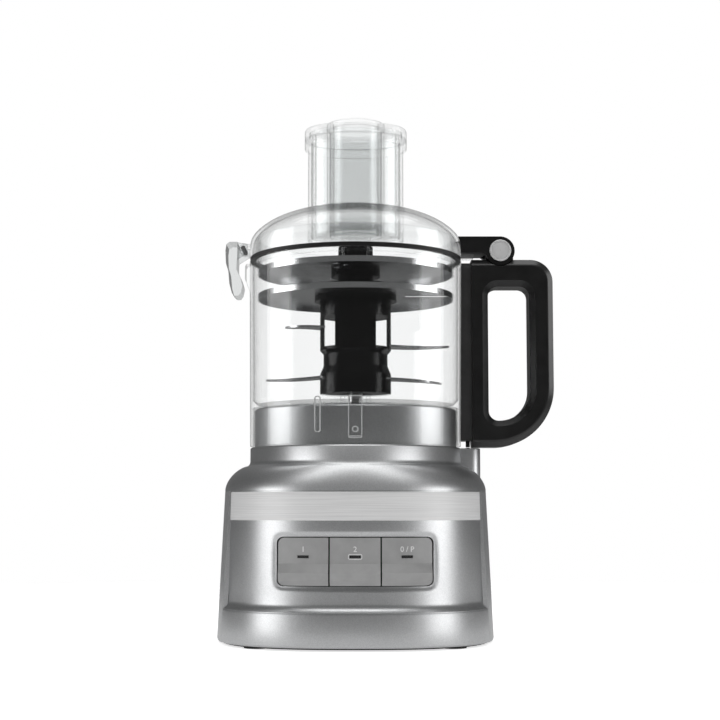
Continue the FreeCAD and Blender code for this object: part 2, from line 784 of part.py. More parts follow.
def chute_solid(inset, low, top):
    return oval(CHUTE_HALF[0] - inset, CHUTE_HALF[1] - inset, low, top)


def dome_solid(inset):
    """The solid under the lid's outside, or under its inside when inset by the wall."""
    outline = [
        (LID_R, LID_LOW + 3.0),
        (76.2, 281.0),
        (74.9, 286.4),
        (70.8, 291.6),
        (63.4, 297.2),
        (51.0, 303.0),
        (36.0, 307.2),
        (19.0, 309.4),
    ]
    rim = V(LID_R - inset, 0, LID_LOW - 1)
    crown = V(0, 0, 310.0 - inset)
    curve = Part.BSplineCurve()
    points = [V(r - inset * r / LID_R, 0, z - inset * (1 - 0.4 * r / LID_R)) for r, z in outline] + [crown]
    curve.interpolate(points)
    foot = V(0, 0, LID_LOW - 1)
    edges = [
        Part.makeLine(foot, rim),
        Part.makeLine(rim, points[0]),
        curve.toShape(),
        Part.makeLine(crown, foot),
    ]
    return Part.Face(Part.Wire(edges)).revolve(CENTRE, UP, 360)


def make_lid():
    dome = dome_solid(0).cut(dome_solid(LID_WALL)).common(cylinder(100, LID_LOW, 320))
    skirt = ring(LID_R - 4.4, LID_R - 6.4, LID_LOW, LID_LOW + 14).common(dome_solid(0.5))
    skirt = skirt.fuse(ring(LID_R - 4.4, LID_R - 6.4, LID_LOW - 5.5, LID_LOW + 1))
    tab = box((70, 85), (-9, 9), (LID_LOW + 0.4, ARM_LOW - 0.2)).cut(cylinder(LID_R - 2, 260, 300))
    eye = pin_y(3.4, LATCH_PIN_X, LATCH_PIN_Z, (-BRACKET_HALF_Y, BRACKET_HALF_Y))
    web = box((LATCH_PIN_X, -72), (-BRACKET_HALF_Y, BRACKET_HALF_Y), (LATCH_PIN_Z - 3.4, LATCH_PIN_Z + 3.4))
    bracket = eye.fuse(web).cut(dome_solid(1.0))
    bracket = bracket.cut(pin_y(1.6, LATCH_PIN_X, LATCH_PIN_Z, (-20, 20)))
    flange = chute_solid(-FLANGE_OUT, CHUTE_TOP, FLANGE_TOP)
    chute = chute_solid(0, CHUTE_LOW, FLANGE_TOP)
    lid = dome.fuse([skirt, tab, bracket, chute, flange])
    return lid.cut(chute_solid(LID_WALL, CHUTE_LOW - 5, FLANGE_TOP + 5))


def make_lid_seal():
    return ring(LID_R - 0.4, LID_R - 4.2, BOWL_TOP + 0.3, LID_LOW - 0.05)


def make_hinge_arm():
    """The black arm on the lid: a block that forks round the handle's lug."""
    low, high = FORK_HALF_Y
    arm = box((72, 93), (-high, high), (ARM_LOW, ARM_TOP))
    arm = arm.cut(dome_solid(-0.05))
    for side in (-1, 1):
        span = sorted((side * low, side * high))
        top = [(91, ARM_TOP), (91, ARM_LOW), (HINGE_X, HINGE_Z - HINGE_R), (HINGE_X, HINGE_Z + HINGE_R)]
        arm = arm.fuse([plate_xz(top, span), pin_y(HINGE_R, HINGE_X, HINGE_Z, span)])
    arm = arm.cut(box((92.6, 120), (-low, low), (260, 300)))
    return arm.cut(pin_y(HINGE_PIN_R + HINGE_FIT, HINGE_X, HINGE_Z, (-20, 20)))


def make_latch_lever():
    """The lever on the left of the lid: a curved plate with two ears and a flared finger tab."""
    half = LATCH_HALF_Y
    plate = plate_xz([
        (-84.8, 283.4), (-90.4, 283.4), (-92.6, 281.6), (-93.2, 277), (-92.8, 268), (-91.0, 262),
        (-90.2, 253), (-88.4, 246.4), (-86.4, 244.4), (-83.6, 244.4), (-81.8, 247), (-80.8, 252),
        (-82.4, 257.4), (-85.2, 263.4),
    ], (-half, half))
    ears = []
    for span in ((-half, -BRACKET_HALF_Y - 0.4), (BRACKET_HALF_Y + 0.4, half)):
        ear = plate_xz([(-86, 283.2), (-86, 270), (-77.4, 275.4), (-77.4, 281.8)], span)
        ears.append(ear)
    lever = plate.fuse(ears)
    return lever.cut(pin_y(1.6 + HINGE_FIT, LATCH_PIN_X, LATCH_PIN_Z, (-20, 20)))


def make_latch_pin():
    return pin_y(1.58, LATCH_PIN_X, LATCH_PIN_Z, (-LATCH_HALF_Y, LATCH_HALF_Y))


def make_large_pusher():
    inset = LID_WALL + PUSHER_GAP
    bottom = CHUTE_LOW + 2.5
    outer = chute_solid(inset, bottom, PUSHER_TOP)
    inner = chute_solid(inset + 2.2, bottom + 2.2, PUSHER_TOP - 2.4)
    cap = chute_solid(-FLANGE_OUT, FLANGE_TOP + 0.4, PUSHER_TOP)
    cap = cap.cut(chute_solid(1.0, FLANGE_TOP - 1, PUSHER_TOP - 2.4))
    rim = [edge for edge in cap.Edges if edge.BoundBox.ZMin > PUSHER_TOP - 0.01]
    cap = cap.makeFillet(2.2, rim)
    tube = cylinder(SMALL_R + 2.4, bottom, PUSHER_TOP - 0.1, 0, CHUTE_Y)
    body = outer.cut(inner).fuse(cap).fuse(tube)
    return body.cut(cylinder(SMALL_R + 0.5, bottom - 1, PUSHER_TOP + 2, 0, CHUTE_Y))


def make_small_pusher():
    """A hollow cup with a rolled rim and a closed bottom."""
    bottom = CHUTE_LOW + 2.5
    cup = cylinder(SMALL_R, bottom, SMALL_TOP, 0, CHUTE_Y)
    rim = cylinder(SMALL_R + 2.6, PUSHER_TOP + 0.4, SMALL_TOP, 0, CHUTE_Y)
    rim = rounded(rim, 1.8, lambda edge: edge.BoundBox.ZMin > SMALL_TOP - 0.1)
    return cup.fuse(rim).cut(cylinder(SMALL_R - 2.0, bottom + 2.0, SMALL_TOP + 1, 0, CHUTE_Y))


# ---------------------------------------------------------------- blade and discs

def make_blade_hub():
    core_r = TUBE_R_OUT + 0.7
    waist = HUB_R - HUB_WAIST
    crest = HUB_R + 0.4
    groove = HUB_R - 0.6
    bore_top = TUBE_TOP + 1.5
    hub = revolved([
        (core_r, HUB_LOW), (HUB_R, HUB_LOW), (HUB_R, HUB_LOW + 14), (waist, HUB_LOW + 20),
        (waist, 203), (HUB_R, 206), (HUB_R, 242), (crest, 243), (crest, 244.6),
        (groove, 245), (groove, 246.4), (crest, 246.8), (crest, 248.4),
        (groove, 248.8), (groove, HUB_TOP), (0, HUB_TOP), (0, bore_top), (core_r, bore_top),
    ])
    hub = hub.cut(hexagon(SPINDLE_R + HEX_CLEARANCE, TUBE_TOP, SPINDLE_TOP + 1))
    for side in (-1, 1):
        x = sorted((side * HUB_SLOT_X, side * (HUB_R - HUB_WALL)))
        hub = hub.cut(box(x, (-40, 40), HUB_SLOT_Z))
    return hub


def blade(side, reach, z, sweep, rise):
    """A sickle-shaped wing from the hub's wall out to its tip."""
    low = V(side * 20, -13 * sweep, z)
    high = V(side * 20, 9 * sweep, z)
    tip = V(side * reach, 4 * sweep, z)
    front = Part.Arc(low, V(side * (reach * 0.66), -15 * sweep, z), tip).toShape()
    back = Part.Arc(tip, V(side * (reach * 0.62), 1 * sweep, z), high).toShape()
    face = Part.Face(Part.Wire([front, back, Part.makeLine(high, low)]))
    wing = face.extrude(V(0, 0, BLADE_THICKNESS))
    wing.rotate(V(0, 0, z), REAR, -side * rise)
    return wing.cut(cylinder(HUB_R, z - 20, z + 20))


def make_blades():
    return [blade(*values) for values in BLADES]


def make_disc_stem():
    stem = cylinder(STEM_R, HUB_TOP, STEM_TOP)
    stem = rounded(stem, 2.0, lambda edge: edge.BoundBox.ZMin > STEM_TOP - 0.1)
    for k in range(STEM_GROOVES):
        groove = box((STEM_R - 1.2, STEM_R + 2), (-1.5, 1.5), (SHREDDING_Z + 6, STEM_TOP + 1))
        groove.rotate(CENTRE, UP, 360 * k / STEM_GROOVES)
        stem = stem.cut(groove)
    return stem


def disc(top, bore):
    plate = cylinder(DISC_R, top - DISC_THICKNESS, top)
    rim = ring(DISC_R, DISC_R - DISC_THICKNESS, top - DISC_RIM, top)
    return plate.fuse(rim).cut(cylinder(bore, top - 10, top + 10))


def make_slicing_disc():
    """A plate with one slot, and a straight blade held over it by a post at each end."""
    plate = disc(SLICING_Z, HUB_R + 4.1)
    start, end = SLICING_SLOT_X
    low, top = SLICING_BLADE
    slot = box(SLICING_SLOT_X, (-4, 6), (SLICING_Z - 3, SLICING_Z + 1))
    edge_plate = box(SLICING_SLOT_X, (-7, 3), (SLICING_Z + low, SLICING_Z + top))
    posts = [box((x, x + 3), (-7, -4), (SLICING_Z - 0.5, SLICING_Z + 2)) for x in (start, end - 3)]
    return plate.cut(slot).fuse([edge_plate] + posts)


def disc_hub(bore, outer, flange, z):
    """The moulded centre of a disc: a sleeve through it and a flange on it."""
    sleeve_drop = 4.8
    flange_height = 3.4
    sleeve = ring(outer, bore, z - sleeve_drop, z + flange_height)
    return sleeve.fuse(ring(flange, bore, z, z + flange_height))


def make_slicing_hub():
    return disc_hub(HUB_R + 0.7, HUB_R + 4.05, HUB_R + 6.5, SLICING_Z)


def make_shredding_disc():
    plate = disc(SHREDDING_Z, STEM_R + 5.1)
    holes = []
    for row in range(SHRED_ROWS):
        radius = SHRED_FIRST_R + SHRED_PITCH * row
        count = 6 + 2 * row
        for k in range(count):
            angle = math.pi * (k + 0.5 * (row % 2)) / count + math.pi / 2
            x = radius * math.cos(angle)
            y = radius * math.sin(angle)
            holes.append(cylinder(SHRED_HOLE_R, SHREDDING_Z - 3, SHREDDING_Z + 3, x, y))
    return plate.cut(Part.makeCompound(holes))


def make_shredding_hub():
    return disc_hub(STEM_R + 0.05, STEM_R + 5.05, STEM_R + 8, SHREDDING_Z)


# ---------------------------------------------------------------- the sub-parts

def main():
    os.makedirs("parts", exist_ok=True)
    save("front_housing", make_front_housing())
    save("rear_housing", make_rear_housing())
    save("top_housing", make_top_housing())
    save("trim_band", make_trim_band())
    save("bottom_cover", make_bottom_cover())
    save("feet", make_feet())
    save("bottom_screws", make_bottom_screws())
    save("chassis_plate", make_chassis_plate())
    save("cord_inlet", make_cord_inlet())
    for name, place in BUTTONS.items():
        save(name, make_button(place))
        save(name.replace("button", "light"), light_block(place, 0))
    save("control_board", make_control_board())
    save("button_switches", make_button_switches())
    save("spindle_bearings", make_bearings())
    save("bearing_tube", make_bearing_tube())
    save("shaft_seal", make_shaft_seal())
    save("drive_spindle", make_spindle())
    save("driven_pulley", make_pulley(DRIVEN_PULLEY_R, SPINDLE_R, 0.0))
    save("motor_pulley", make_pulley(MOTOR_PULLEY_R, MOTOR_SHAFT_R, MOTOR_Y))
    save("drive_belt", make_drive_belt())
    save("motor_core", make_motor_core())
    save("field_windings", make_field_windings())
    save("motor_frames", make_motor_frames())
    save("rotor_core", make_rotor())
    save("commutator", make_commutator())
    save("motor_shaft", make_motor_shaft())
    save("cooling_fan", make_fan())
    save("bowl", make_bowl())
    front, back = make_handle_halves()
    save("handle_front", front)
    save("handle_back", back)
    save("handle_screws", make_handle_screws())
    save("handle_mount", make_handle_mount())
    save("interlock_rod", make_interlock_rod())
    save("interlock_pin", make_interlock_pin())
    save("interlock_switch", make_interlock_switch())
    save("hinge_pin", make_hinge_pin())
    save("hinge_cap", make_hinge_cap())
    save("lid", make_lid())
    save("lid_seal", make_lid_seal())
    save("lid_hinge_arm", make_hinge_arm())
    save("latch_lever", make_latch_lever())
    save("latch_pin", make_latch_pin())
    save("large_pusher", make_large_pusher())
    save("small_pusher", make_small_pusher())
    save("blade_hub", make_blade_hub())
    save("blades", make_blades())
    save("disc_stem", make_disc_stem())
    save("slicing_disc", make_slicing_disc())
    save("slicing_disc_hub", make_slicing_hub())
    save("shredding_disc", make_shredding_disc())
    save("shredding_disc_hub", make_shredding_hub())


if __name__ == "__main__":
    main()
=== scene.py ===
"""Studio picture of a food processor: clear bowl and lid, pushers, blade, discs and base."""
import json
import math

import bpy
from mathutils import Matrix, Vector


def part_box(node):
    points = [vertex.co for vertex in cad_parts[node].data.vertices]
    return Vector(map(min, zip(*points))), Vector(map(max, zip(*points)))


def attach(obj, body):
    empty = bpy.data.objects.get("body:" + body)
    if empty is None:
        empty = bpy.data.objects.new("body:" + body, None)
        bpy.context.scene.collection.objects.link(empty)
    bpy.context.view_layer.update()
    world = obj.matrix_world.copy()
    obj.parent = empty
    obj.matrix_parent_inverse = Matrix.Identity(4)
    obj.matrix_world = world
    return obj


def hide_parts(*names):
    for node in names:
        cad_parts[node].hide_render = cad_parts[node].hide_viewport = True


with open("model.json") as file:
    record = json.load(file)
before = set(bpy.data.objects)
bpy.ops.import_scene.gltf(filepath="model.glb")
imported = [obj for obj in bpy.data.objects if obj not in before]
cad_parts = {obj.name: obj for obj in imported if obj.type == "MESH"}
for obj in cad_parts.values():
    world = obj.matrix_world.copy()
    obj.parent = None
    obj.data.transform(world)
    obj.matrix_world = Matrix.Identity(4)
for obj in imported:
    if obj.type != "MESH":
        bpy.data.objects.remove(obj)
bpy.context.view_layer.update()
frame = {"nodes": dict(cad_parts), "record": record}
NODES = frame["nodes"]
MM = 0.001


def middle(node):
    """The middle of a node's box."""
    low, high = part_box(node)
    return (Vector(low) + Vector(high)) / 2


AXIS = middle("disc_stem")


# ---------------------------------------------------------------- materials

def linear(code):
    """A linear colour from an sRGB hex value."""
    channels = []
    for k in (0, 2, 4):
        value = int(code[k:k + 2], 16) / 255
        channels.append(value / 12.92 if value <= 0.04045 else ((value + 0.055) / 1.055) ** 2.4)
    return (*channels, 1.0)


def add(material, kind, values=None, links=None, stops=(), **settings):
    """Add one node to a material or world, with its settings, socket values, links and colour stops."""
    tree = material.node_tree
    node = tree.nodes.new(kind)
    for name, value in settings.items():
        setattr(node, name, value)
    for place, (position, code) in enumerate(stops):
        node.color_ramp.elements[place].position = position
        node.color_ramp.elements[place].color = linear(code)
    for socket, value in (values or {}).items():
        node.inputs[socket].default_value = value
    for socket, source in (links or {}).items():
        tree.links.new(source, node.inputs[socket])
    return node


def start_material(name):
    """An empty node material with an output, and its object coordinates in millimetres."""
    material = bpy.data.materials.new(name)
    material.use_nodes = True
    material.node_tree.nodes.clear()
    place = add(material, "ShaderNodeTexCoord")
    scale = add(
        material, "ShaderNodeMapping", {"Scale": (1 / MM,) * 3}, {"Vector": place.outputs["Object"]},
    )
    return material, scale.outputs["Vector"]


def surface(material, values, links=None):
    """The shader and output that end a material."""
    shader = add(material, "ShaderNodeBsdfPrincipled", values, links)
    add(material, "ShaderNodeOutputMaterial", links={"Surface": shader.outputs["BSDF"]})
    return material


def grain(material, place, size, strength, distance):
    """A fine bump whose grains are size millimetres across."""
    noise = add(
        material, "ShaderNodeTexNoise", {"Scale": 1 / size, "Detail": 2.0}, {"Vector": place},
    )
    return add(
        material, "ShaderNodeBump",
        {"Strength": strength, "Distance": distance * MM}, {"Height": noise.outputs["Fac"]},
    )


def metallic_paint():
    """Silver paint on ABS: fine metal flakes under a soft clear coat, so broad soft highlights."""
    material, place = start_material("metallic silver paint on ABS")
    flake_size = 0.5
    cloud_size = 60
    flakes = add(material, "ShaderNodeTexVoronoi", {"Scale": 1 / flake_size}, {"Vector": place})
    cloud = add(
        material, "ShaderNodeTexNoise", {"Scale": 1 / cloud_size, "Detail": 3.0}, {"Vector": place},
    )
    colour = add(
        material, "ShaderNodeValToRGB", links={"Fac": flakes.outputs["Color"]},
        stops=[(0.2, "bcbdbe"), (0.8, "c8c9ca")],
    )
    rough = add(
        material, "ShaderNodeMapRange",
        {"From Min": 0.3, "From Max": 0.7, "To Min": 0.36, "To Max": 0.41},
        {"Value": cloud.outputs["Fac"]},
    )
    bump = grain(material, place, 0.45, 0.05, 0.02)
    return surface(
        material,
        {"Metallic": 1.0, "Coat Weight": 0.08, "Coat Roughness": 0.3},
        {
            "Base Color": colour.outputs["Color"], "Roughness": rough.outputs["Result"],
            "Normal": bump.outputs["Normal"],
        },
    )


def brushed_band():
    """Anodised aluminium foil, brushed along its length: short bright lines run level round it."""
    material, place = start_material("brushed anodised aluminium")
    stretch = (0.02, 0.02, 2.2)
    lines = add(material, "ShaderNodeMapping", {"Scale": stretch}, {"Vector": place})
    noise = add(
        material, "ShaderNodeTexNoise", {"Scale": 1.0, "Detail": 4.0},
        {"Vector": lines.outputs["Vector"]},
    )
    colour = add(
        material, "ShaderNodeValToRGB", links={"Fac": noise.outputs["Fac"]},
        stops=[(0.3, "dedede"), (0.7, "f2f2f2")],
    )
    rough = add(
        material, "ShaderNodeMapRange",
        {"From Min": 0.3, "From Max": 0.7, "To Min": 0.45, "To Max": 0.6},
        {"Value": noise.outputs["Fac"]},
    )
    bump = add(
        material, "ShaderNodeBump",
        {"Strength": 0.25, "Distance": 0.03 * MM}, {"Height": noise.outputs["Fac"]},
    )
    return surface(
        material, {"Metallic": 0.2},
        {
            "Base Color": colour.outputs["Color"], "Roughness": rough.outputs["Result"],
            "Normal": bump.outputs["Normal"],
        },
    )


def moulded(name, low, high, roughness, grain_size=0.6, strength=0.15, coat=0.0, ior=1.5):
    """Moulded plastic: a slight mottle in its colour and a fine spark-eroded grain."""
    material, place = start_material(name)
    mottle_size = 9
    mottle = add(
        material, "ShaderNodeTexNoise", {"Scale": 1 / mottle_size, "Detail": 4.0}, {"Vector": place},
    )
    colour = add(
        material, "ShaderNodeValToRGB", links={"Fac": mottle.outputs["Fac"]},
        stops=[(0.3, low), (0.7, high)],
    )
    rough = add(
        material, "ShaderNodeMapRange",
        {"From Min": 0.3, "From Max": 0.7, "To Min": roughness * 0.9, "To Max": roughness * 1.1},
        {"Value": mottle.outputs["Fac"]},
    )
    bump = grain(material, place, grain_size, strength, 0.03)
    return surface(
        material, {"IOR": ior, "Coat Weight": coat, "Coat Roughness": 0.06},
        {
            "Base Color": colour.outputs["Color"], "Roughness": rough.outputs["Result"],
            "Normal": bump.outputs["Normal"],
        },
    )


def clear_plastic(name, colour, alpha, roughness=0.02):
    """Clear SAN: a wall too thin to bend what shows through it, with a gloss that mirrors the room."""
    material, place = start_material(name)
    wave_size = 24
    waves = add(
        material, "ShaderNodeTexNoise", {"Scale": 1 / wave_size, "Detail": 1.0}, {"Vector": place},
    )
    bump = add(
        material, "ShaderNodeBump",
        {"Strength": 0.15, "Distance": 0.12 * MM}, {"Height": waves.outputs["Fac"]},
    )
    return surface(
        material,
        {
            "Base Color": linear(colour), "Roughness": roughness, "IOR": 1.01,
            "Transmission Weight": 1.0, "Alpha": alpha, "Coat Weight": 1.0, "Coat Roughness": roughness,
        },
        {"Normal": bump.outputs["Normal"]},
    )


def turned_metal(name, low, high, roughness):
    """Stainless steel polished while it turns: fine rings about the spindle's axis."""
    material, place = start_material(name)
    ring_spacing = 2.1
    shifted = add(
        material, "ShaderNodeVectorMath", {1: tuple(AXIS / MM)}, {0: place}, operation="SUBTRACT",
    )
    rings = add(
        material, "ShaderNodeTexWave", {"Scale": 1 / ring_spacing, "Distortion": 0.6, "Detail": 2.0},
        {"Vector": shifted.outputs["Vector"]}, wave_type="RINGS", rings_direction="Z",
    )
    colour = add(
        material, "ShaderNodeValToRGB", links={"Fac": rings.outputs["Fac"]},
        stops=[(0.0, low), (1.0, high)],
    )
    bump = add(
        material, "ShaderNodeBump",
        {"Strength": 0.12, "Distance": 0.02 * MM}, {"Height": rings.outputs["Fac"]},
    )
    return surface(
        material, {"Metallic": 1.0, "Roughness": roughness},
        {"Base Color": colour.outputs["Color"], "Normal": bump.outputs["Normal"]},
    )


SILVER = metallic_paint()
BAND = brushed_band()
# The paddles: a soft mid grey against the brighter silver round them.
BUTTON = moulded("satin grey ABS", "9c9c9c", "a6a6a6", 0.4, 0.5, 0.1)
# The handle and hinge arm: soft highlights that follow their rounded edges.
BLACK = moulded("satin black ABS", "161616", "1f1f1f", 0.33, 0.7, 0.2)
# The hubs: so dark that they stay black behind the bowl's reflections.
HUB_BLACK = moulded("black acetal", "050505", "090909", 0.22, 0.8, 0.1, ior=1.3)
# The strip behind the handle and the interlock: a little lighter than the handle.
DARK = moulded("charcoal ABS", "3a3a3a", "444444", 0.4)
# Labels: flat white.
PRINT = moulded("white pad-printed ink", "dcdcdc", "e6e6e6", 0.5, 0.4, 0.1)
# The light windows: dark and glassy.
LENS = moulded("smoked acrylic", "2a2a2a", "383838", 0.12, 2.0, 0.02, 0.5)
# Feet, seals and belt: no shine.
RUBBER = moulded("black silicone rubber", "0d0d0d", "151515", 0.6, 0.4, 0.3)
# The control board: the only green, hidden unless the base is opened.
BOARD = moulded("green solder mask", "0f4a22", "15602c", 0.35)
CLEAR = clear_plastic("clear SAN", "fdfefe", 0.55)
# Ribs on the bowl's skirt: clear ribs drawn opaque and pale. This is a painted highlight that stands in
# for the light they catch, so they show as light lines against the silver behind them.
PAINTED_HIGHLIGHT_RIB = moulded("solid SAN rib", "dadbdb", "e8e9e9", 0.25, 0.8, 0.05)
# The latch: pale, and hardly see-through.
FROSTED = clear_plastic("milky clear SAN", "dfe1e1", 0.85, 0.1)
STEEL = turned_metal("turned steel", "b8b8b8", "cfcfcf", 0.28)
BLADE_STEEL = turned_metal("polished stainless steel", "c4c5c6", "dcddde", 0.2)
# The hinge button: bright, with a mirror-like coat.
CAP_METAL = moulded("chrome-look lacquer on ABS", "f0f0f0", "f8f8f8", 0.2, 0.6, 0.05, 0.6)
# The motor: rough grey frames, a dark core and brown-red windings.
CASTING = moulded("cast aluminium", "8f8f90", "a2a2a3", 0.5, 0.8, 0.4)
IRON = moulded("varnished core iron", "3b3b3d", "4a4a4c", 0.45)
COPPER = moulded("enamelled copper", "7a3d1c", "a05a2c", 0.35)

SLOT_MATERIALS = {
    "silver_paint": SILVER, "trim_metal": BAND, "black_plastic": BLACK, "gloss_black": HUB_BLACK,
    "grey_plastic": DARK, "button_grey": BUTTON, "light_window": LENS, "clear_plastic": CLEAR,
    "rubber": RUBBER, "steel": STEEL, "blade_steel": BLADE_STEEL, "silver_cap": CAP_METAL,
    "cast_aluminium": CASTING, "iron": IRON, "copper": COPPER, "circuit_board": BOARD,
}


def dress_nodes():
    """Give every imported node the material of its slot."""
    for part in frame["record"]["subparts"]:
        node = NODES[part["node"]]
        node.data.materials.clear()
        node.data.materials.append(SLOT_MATERIALS[part["material_slot"]])


dress_nodes()
NODES["latch_lever"].data.materials[0] = FROSTED


# ---------------------------------------------------------------- modelling

def fresh():
    """Leave edit mode and deselect everything, so that the next operator acts on its own piece only."""
    if bpy.context.object and bpy.context.object.mode == "EDIT":
        bpy.ops.object.mode_set(mode="OBJECT")
    bpy.ops.object.select_all(action="DESELECT")


def work_on(piece):
    """Make one piece the only selected one."""
    fresh()
    piece.select_set(True)
    bpy.context.view_layer.objects.active = piece


def lathe(profile, segments=128, closed=False, centre=AXIS):
    """Turn a profile of (radius, height) millimetres about an upright axis, ring by ring."""
    fresh()
    radius, height = profile[0]
    bpy.ops.mesh.primitive_circle_add(
        vertices=segments, radius=radius * MM, location=(centre.x, centre.y, height * MM),
    )
    piece = bpy.context.object
    bpy.ops.object.mode_set(mode="EDIT")
    points = profile[1:] + profile[:1] if closed else profile[1:]
    for next_radius, next_height in points:
        rise = (0, 0, (next_height - height) * MM)
        bpy.ops.mesh.extrude_region_move(TRANSFORM_OT_translate={"value": rise})
        grow = next_radius / radius
        bpy.ops.transform.resize(value=(grow, grow, 1), center_override=(centre.x, centre.y, 0))
        radius, height = next_radius, next_height
    bpy.ops.mesh.select_all(action="SELECT")
    bpy.ops.mesh.remove_doubles(threshold=0.005 * MM)
    bpy.ops.mesh.normals_make_consistent(inside=False)
    fresh()
    return piece


def arc(centre, radius, start, end, steps=6):
    """Points of an arc in a profile: its centre and radius, and its two angles in degrees."""
    points = []
    for k in range(steps + 1):
        angle = math.radians(start + (end - start) * k / steps)
        points.append((centre[0] + radius * math.cos(angle), centre[1] + radius * math.sin(angle)))
    return points


def apply_place(piece):
    """Put the object at the origin, with its place in its mesh."""
    work_on(piece)
    bpy.ops.object.transform_apply(location=True, rotation=True, scale=True)


def apply_modifiers(piece):
    """Turn the piece's modifiers into its mesh."""
    work_on(piece)
    for modifier in list(piece.modifiers):
        bpy.ops.object.modifier_apply(modifier=modifier.name)


def block(place, size):
    """A box from its middle in metres and its three sizes in millimetres."""
    fresh()
    bpy.ops.mesh.primitive_cube_add(size=1, location=place)
    piece = bpy.context.object
    piece.scale = Vector(size) * MM
    apply_place(piece)
    return piece


def thicken(piece, wall):
    """Give a surface a wall, in millimetres, that grows inwards."""
    thickness = piece.modifiers.new("wall", "SOLIDIFY")
    thickness.thickness = wall * MM
    thickness.offset = -1.0
    apply_modifiers(piece)


# An edge that runs further than this along an axis is one of a block's long edges on it.
LONG = 5 * MM


def round_edges(piece, width, segments, chosen):
    """Round the edges whose two ends chosen accepts."""
    weights = piece.data.attributes.new("bevel_weight_edge", "FLOAT", "EDGE")
    for edge in piece.data.edges:
        first, second = (piece.data.vertices[k].co for k in edge.vertices)
        weights.data[edge.index].value = 1.0 if chosen(first, second) else 0.0
    corners = piece.modifiers.new("corners", "BEVEL")
    corners.width = width * MM
    corners.segments = segments
    corners.limit_method = "WEIGHT"


def flat_frame(x, z, corner, width, rise, cuts=0):
    """A closed frame drawn flat, X along and Z as Y, between two X and two Z, corners rounded."""
    fresh()
    middle_x = AXIS.x + (x[0] + x[1]) / 2 * MM
    bpy.ops.mesh.primitive_plane_add(size=1, location=(middle_x, (z[0] + z[1]) / 2 * MM, 0))
    piece = bpy.context.object
    piece.scale = ((x[1] - x[0]) * MM, (z[1] - z[0]) * MM, 1)
    apply_place(piece)
    bpy.ops.object.mode_set(mode="EDIT")
    bpy.ops.mesh.bevel(offset=corner * MM, segments=5, affect="VERTICES")
    bpy.ops.mesh.inset(thickness=width * MM)
    bpy.ops.mesh.delete(type="FACE")
    bpy.ops.mesh.select_all(action="SELECT")
    bpy.ops.mesh.extrude_region_move(TRANSFORM_OT_translate={"value": (0, 0, rise * MM)})
    bpy.ops.mesh.select_all(action="SELECT")
    if cuts:
        bpy.ops.mesh.subdivide(number_cuts=cuts)
    bpy.ops.mesh.normals_make_consistent(inside=False)
    fresh()
    return piece


def join(pieces):
    """Join pieces into the first one."""
    fresh()
    for piece in pieces:
        piece.select_set(True)
    bpy.context.view_layer.objects.active = pieces[0]
    bpy.ops.object.join()
    return pieces[0]


def finish_piece(piece, name, body, slot, material, *nodes, angle=35):
    """Apply what shapes the piece, smooth it, dress it and let it ride on its body."""
    apply_place(piece)
    apply_modifiers(piece)
    bpy.ops.object.shade_smooth_by_angle(angle=math.radians(angle))
    piece.name = name
    piece.data.materials.clear()
    piece.data.materials.append(material)
    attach(piece, body)
    if nodes:
        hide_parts(*nodes)
    fresh()
    return piece


# ---------------------------------------------------------------- base

# Millimetres, with X and Y measured from the bowl's axis.
BASE_HALF_WIDTH = 97.6
BASE_HALF_DEPTH = 92.0
BASE_Y = 8.0
BASE_POWER = 2.6
BASE_TAPER = 0.047
SHELL_TOP = 105.0
NECK_R = 75.0
NECK_TOP = 136.0
PLATFORM_R = 72.0
PLATFORM_TOP = 163.3
SHOULDER_HALF = BASE_HALF_WIDTH - BASE_TAPER * SHELL_TOP
SHOULDER_START = SHELL_TOP + 0.8
SHOULDER_RISE = 17.4
SHOULDER_POWER = 1.7
SHOULDER_END = 74
SHOULDER_WALL = 2.2


def half_depth_for(half_width):
    """The base's half depth where its half width is known."""
    return half_width - (BASE_HALF_WIDTH - BASE_HALF_DEPTH)


def base_reach(angle, half_width):
    """The base's plan, a superellipse: its place at an angle, for a half width."""
    half_depth = half_depth_for(half_width)
    cosine = math.cos(angle)
    sine = math.sin(angle)
    stretch = abs(cosine / half_width) ** BASE_POWER + abs(sine / half_depth) ** BASE_POWER
    reach = stretch ** (-1 / BASE_POWER)
    return reach * cosine, BASE_Y + reach * sine


def make_shoulder():
    """The rounded shoulder turns from the base's plan into the neck, with a hollow at its foot."""
    span = SHOULDER_HALF - NECK_R
    profile = [(SHOULDER_HALF, SHELL_TOP + 0.1), (SHOULDER_HALF, SHOULDER_START)]
    steps = 14
    roundness = 2 / SHOULDER_POWER
    for k in range(1, steps + 1):
        turn = math.radians(SHOULDER_END * k / steps)
        out = NECK_R + span * math.cos(turn) ** roundness
        profile.append((out, SHOULDER_START + SHOULDER_RISE * math.sin(turn) ** roundness))
    hollow_r = 3.4
    hollow_height = profile[-1][1] + hollow_r + 0.2
    profile += arc((NECK_R + hollow_r, hollow_height), hollow_r, 262, 180, 7)[1:]
    rim_r = 1.2
    profile += arc((NECK_R - rim_r, NECK_TOP - rim_r), rim_r, 0, 90, 4)
    profile += [(PLATFORM_R - 3, NECK_TOP)]
    shell = lathe(profile, 160)
    apply_place(shell)
    for vertex in shell.data.vertices:
        x = (vertex.co.x - AXIS.x) / MM
        y = (vertex.co.y - AXIS.y) / MM
        share = (math.hypot(x, y) - NECK_R) / span
        if share > 0.0005:  # The neck itself stays round.
            angle = math.atan2(y, x)
            outer_x, outer_y = base_reach(angle, SHOULDER_HALF)
            inner_x, inner_y = NECK_R * math.cos(angle), NECK_R * math.sin(angle)
            vertex.co.x = AXIS.x + (share * outer_x + (1 - share) * inner_x) * MM
            vertex.co.y = AXIS.y + (share * outer_y + (1 - share) * inner_y) * MM
    thicken(shell, SHOULDER_WALL)
    return finish_piece(
        shell, "shoulder_shell", "base", "silver_paint", SILVER, "top_housing", angle=50,
    )


